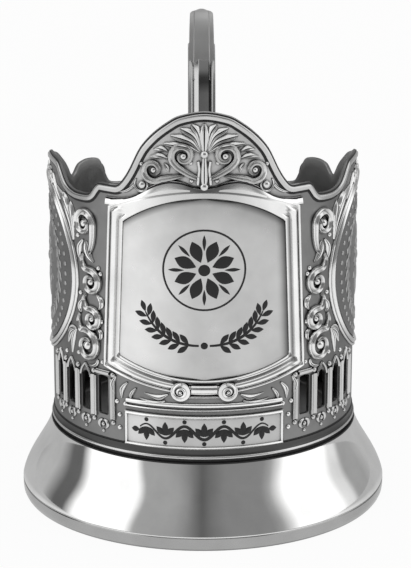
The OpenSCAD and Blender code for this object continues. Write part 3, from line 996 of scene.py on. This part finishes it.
def foot():
    wall, edge_h, flange_w = 0.9, 3.4, 10
    flange_r = BORE_R - flange_w

    def flare(t):
        share = (t + (1 - np.cos(np.pi * t)) / 2) / 2
        return BELT_R + (FOOT_R - BELT_R) * share, FOOT_H + (edge_h - FOOT_H) * t

    outer = [flare(t) for t in np.linspace(0, 1, 40)]
    # the upright edge: a fine groove, then a rounded foot ring
    edge = [(FOOT_R - 0.12, edge_h - 0.15), (FOOT_R - 0.16, edge_h - 0.35), (FOOT_R, edge_h - 0.55),
            (FOOT_R, edge_h * 0.45), (FOOT_R - 0.1, edge_h * 0.2), (FOOT_R - 0.3, edge_h * 0.06),
            (FOOT_R - 0.45, 0)]
    inner = [(FOOT_R - wall - 0.35, 0), (FOOT_R - wall - 0.1, edge_h * 0.3)]
    inner += [(flare(t)[0] - wall, min(flare(t)[1], FOOT_H - wall)) for t in np.linspace(1, 0, 20)]
    flange = [(flange_r + 0.2, FOOT_H - wall), (flange_r, FOOT_H - wall * 0.7), (flange_r, FOOT_H - 0.2),
              (flange_r + 0.2, FOOT_H)]
    mesh = turned(outer + edge + inner + flange)
    obj = mesh.piece("foot_pressing", POLISHED, "polished_silver", 35, ["foot_skirt"])
    refinish(obj, FOOT_EDGE_PAINTED_SHADE, lambda r, z, normal: z < edge_h - 0.3 and r > FOOT_R - wall)


def belt():
    """A bead over the joint with the foot, then a cove up to a thin line; black joint, dark cove, black line:
    painted shade.
    """
    low, tall = FOOT_H, BELT_TOP_Z - FOOT_H
    r0, deep = SLEEVE_R + CLEAR, BELT_R - SLEEVE_R - CLEAR
    section = [(0, 0.12), (0.24, 0.12), (0.26, 0.6), (0.3, 0.88), (0.37, 1.0), (0.44, 0.92), (0.49, 0.66),
               (0.52, 0.4), (0.6, 0.26), (0.75, 0.22), (0.9, 0.3), (1, 0.35), (1.02, 0.2), (1.02, 0), (0, 0)]
    mesh = turned([(r0 + lift * deep, low + t * tall) for t, lift in section])
    obj = mesh.piece("belt_moulding", RIM, crease=50, replaces=["lower_belt"])
    refinish(obj, COVE_PAINTED_SHADE, lambda r, z, normal: z > low + 0.5 * tall)
    # painted shade: a black ring in the joint's crevice, and a black line under the low plate
    joint_r, back_r, line_r = SLEEVE_R + 0.2 * deep, SLEEVE_R - 0.05, SLEEVE_R + 0.06
    joint = [(back_r, low - 0.3), (BELT_R + 0.1, low - 0.3), (BELT_R + 0.06, low + 0.02),
             (joint_r, low + 0.02), (joint_r, low + 0.24 * tall), (back_r, low + 0.24 * tall)]
    turned(joint).piece("joint_painted_shade", BLACK_INLAY_AND_SHADE, crease=50)
    line_top_z = BELT_TOP_Z + 0.4
    line = [(back_r, BELT_TOP_Z), (line_r, BELT_TOP_Z), (line_r, line_top_z), (back_r, line_top_z)]
    turned(line).piece("upper_line_painted_shade", BLACK_INLAY_AND_SHADE, crease=50)


def floor_plate():
    """The disc that the glass stands on, with turned rings on its upper face."""
    top, under, hole_r = FLOOR_Z, FOOT_H + CLEAR, 0.3
    profile = [(hole_r, top)]
    for ring in (6.0, 14.0, 22.0, 30.0):
        profile += [(ring - 0.5, top), (ring, top - 0.18), (ring + 0.5, top)]
    profile += [(BORE_R - CLEAR, top), (BORE_R - CLEAR, under), (hole_r, under)]
    turned(profile, 128).piece("glass_seat", INNER, "plain_silver", 10, ["floor_disc"])


# The handle

# Corners of the strap's curves, as shares of the handle's reach and rise
STRAP_SHARES = [
    [(0, 0.6), (0, 0.84), (0.16, 1), (0.5, 1)],
    [(0.5, 1), (0.84, 1), (1, 0.88), (1, 0.68)],
    [(1, 0.68), (1, 0.42), (0.8, 0.3), (0.45, 0.2)],
    [(0.45, 0.2), (0.18, 0.122), (0, 0.16), (0, 0.06)],
]
# The tongue's middle line as (y, z): inside the strap at first, then up and back to its tip
THUMB_LINE = [(39.9, 89.3), (42.3, 92.8), (43.4, 96.0), (45.5, 101.0), (47.6, 103.9), (49.95, 105.0)]


def strip(line, section, width_shares):
    """A section of (x, outward) run along a (y, z) line, whose left side is outward."""
    along = np.gradient(line, axis=0)
    along /= np.linalg.norm(along, axis=1, keepdims=True)
    outward = np.stack([-along[:, 1], along[:, 0]], -1)
    return Mesh().tube([[(x * share, *(place + way * out)) for x, out in section]
                        for place, way, share in zip(line, outward, width_shares)])


def handle():
    """The strap with a rolled edge on each side, and the ridge along its middle."""
    runs = [bezier(*corners, 28) for corners in STRAP_SHARES]
    start, end = [(0, 0.34), (0, 0.44), (0, 0.52)], [(0, 0.06), (0, 0.03), (0, 0.0)]
    reach, rise = joined(np.concatenate([start, runs[0]]), *runs[1:], end).T
    line = np.stack([SLEEVE_R + SOLDER_GAP + HANDLE_T / 2 + reach * HANDLE_REACH,
                     HANDLE_LOW_Z + rise * (HANDLE_TOP_Z - HANDLE_LOW_Z)], -1)
    w, t, b = HANDLE_W / 2, HANDLE_T / 2, RIB_W / 2 + 0.15
    half = [(w - 0.3, -t), (w - 0.05, -t + 0.25), (w, t - 0.5), (w - 0.2, t - 0.12), (w - 0.55, t),
            (w - 0.9, t - 0.12), (w - 1.15, t - 0.42), (b + 0.1, t - 0.5)]
    strap = strip(line, half + flipped(half), np.ones(len(line)))
    strap.piece("strap", HANDLE, "plain_silver", 35, ["handle_strap"])

    # the ridge stops where the sleeve is behind it; its steep side is to the left
    clear = (line[:, 0] > SLEEVE_R + HANDLE_T / 2 + RIB_T + 0.1) | (line[:, 1] > RIM_LOW_Z + 0.5)
    first, last = np.flatnonzero(clear)[[0, -1]]
    free = line[first:last + 1]
    section = [(b, t - 0.6), (b, t - 0.2), (b - 0.2, t + 0.16), (-0.6, t + RIB_T - 0.2),
               (-0.8, t + RIB_T - 0.2), (-0.95, t + RIB_T - 0.3), (-b, t - 0.35), (-b, t - 0.6)]
    ends = np.minimum(swell(len(free), 0.6, 1.0, 1.0, 0.03), swell(len(free), 1.0, 1.0, 0.25, 0.94))
    obj = strip(free, section, ends).piece("strap_ridge", RIDGE, "plain_silver", 30)
    # painted shade, darker over the top where the tongue is soldered on, apart from the steep side
    paint_light_and_shade(obj, lambda x, y, z: 1 - 0.72 * (x > -0.75) * clip((z - 86.5) / 2.5))


def thumb_rest():
    """A flat tongue that rises from the strap's top, with a lower border on each side."""
    line = through(*THUMB_LINE, n=8)
    t, w = THUMB_T / 2, HANDLE_W / 2
    half = [(w * 0.9, -t), (w, -t + 0.2), (w, t - 0.4), (w - 0.12, t - 0.26), (w * 0.66, t - 0.24),
            (w * 0.58, t), (w * 0.3, t + 0.02)]
    share = np.linspace(0, 1, len(line))
    width = 1 + (THUMB_TIP_W / HANDLE_W - 1) * share
    tip = np.sqrt(np.clip(1 - clip((share - 0.86) / 0.14) ** 2, 0.08, 1))
    tongue = strip(line, half + flipped(half), width * tip)
    tongue.piece("thumb_tongue", TONGUE, "plain_silver", replaces=["thumb_rest"])


# The stage

# The studio round the holder: degrees from the front, to the right positive, and brightness
STUDIO = [(-180, 0.55), (-170, 0.5), (-160, 0.4), (-146, 0.38), (-134, 0.52), (-120, 0.5), (-107, 0.13),
          (-97, 0.13), (-92, 0.7), (-88, 1.25), (-50, 1.25), (-44, 0.4), (-26, 0.38), (-19, 0.36),
          (-12, 0.29), (-7, 0.2), (-1, 0.12), (5, 0.18), (16, 0.25), (44, 0.26), (50, 0.38), (56, 0.8),
          (61, 1.25), (96, 1.25), (101, 0.85), (108, 0.8), (113, 0.38), (128, 0.38), (140, 0.5),
          (158, 0.4), (170, 0.5), (180, 0.55)]
# The ceiling fades in between these heights of a ray's direction
CEILING_FROM, CEILING_TO = 0.76, 0.9
WHITE = (1, 1, 1, 1)
# How bright the metal sees the table behind the holder
FLOOR_BEHIND = 0.5


def world():
    """White to the camera; to the metal, a ring of pale and dark panels under a white ceiling."""
    bpy.context.scene.world, tree = with_tree(bpy.data.worlds.new("studio"))
    way = add(tree, "SeparateXYZ", add(tree, "TexCoord").outputs["Generated"]).outputs
    to_front = add(tree, "Math", way["Y"], -1.0, operation="MULTIPLY")
    turn = add(tree, "Math", way["X"], to_front, operation="ARCTAN2")
    share = add(tree, "Math", turn, 2 * np.pi, operation="DIVIDE")
    place = add(tree, "Math", share, 0.5, operation="ADD")
    walls = ramp(tree, place, [(degrees / 360 + 0.5, (grey, grey, grey, 1)) for degrees, grey in STUDIO])
    high = add(tree, "MapRange", way["Z"], From_Min=CEILING_FROM, From_Max=CEILING_TO,
               interpolation_type="SMOOTHSTEP")
    studio = add(tree, "Background", add(tree, "MixRGB", high, walls, WHITE))
    seen = add(tree, "LightPath").outputs["Is Camera Ray"]
    add(tree, "OutputWorld", add(tree, "MixShader", seen, studio, add(tree, "Background", WHITE)))


def floor():
    """A pale table: the camera sees it nearly white, the metal darker behind the holder."""
    half = 3000.0
    corners = [(-half, -half, 0), (half, -half, 0), (half, half, 0), (-half, half, 0)]
    obj = Mesh().add(corners, [(0, 1, 2, 3)]).linked("floor")
    material, tree = with_tree(bpy.data.materials.new("white_floor"))
    y = add(tree, "SeparateXYZ", add(tree, "TexCoord").outputs["Object"]).outputs["Y"]
    behind = add(tree, "MapRange", y, From_Min=-0.03, From_Max=0.012, To_Min=1.0, To_Max=FLOOR_BEHIND)
    ray = add(tree, "LightPath").outputs
    surface = add(tree, "BsdfDiffuse", (0.9, 0.9, 0.9, 1))
    for kind, share, strength in (("Is Glossy Ray", 0.95, behind), ("Is Camera Ray", 0.94, 1.0)):
        part = add(tree, "Math", ray[kind], share, operation="MULTIPLY")
        surface = add(tree, "MixShader", part, surface, add(tree, "Emission", WHITE, strength))
    add(tree, "OutputMaterial", surface)
    obj.data.materials.append(material)


def camera():
    """The photograph's camera, fitted to the holder's round edges."""
    focal_px, image_h, image_w = 2139.0, 568.0, 411.0
    centre_x_px = 203.0
    away, up = 0.478, 0.1855
    turn, tilt = np.radians(-0.45), np.radians(15.94)
    data = bpy.data.cameras.new("camera")
    data.sensor_fit = "VERTICAL"
    data.sensor_height = 36.0
    data.lens = focal_px / image_h * data.sensor_height
    data.shift_x = (image_w / 2 - centre_x_px) / image_h
    data.clip_start = 0.01
    obj = bpy.data.objects.new("camera", data)
    obj.location = (away * np.sin(turn), -away * np.cos(turn), up)
    obj.rotation_euler = (np.pi / 2 - tilt, 0, turn)
    bpy.context.scene.collection.objects.link(obj)
    bpy.context.scene.camera = obj


for make in (camera, world, floor, sleeve, rim_border, hood, crown_ornament, scroll_columns, slot_surrounds,
             side_crests, front_foliage, frame_moulding, front_plate, front_emblem, name_plate, low_vine,
             side_plates, foot, belt, floor_plate, handle, thumb_rest):
    make()

bpy.context.scene.view_settings.view_transform = "Standard"
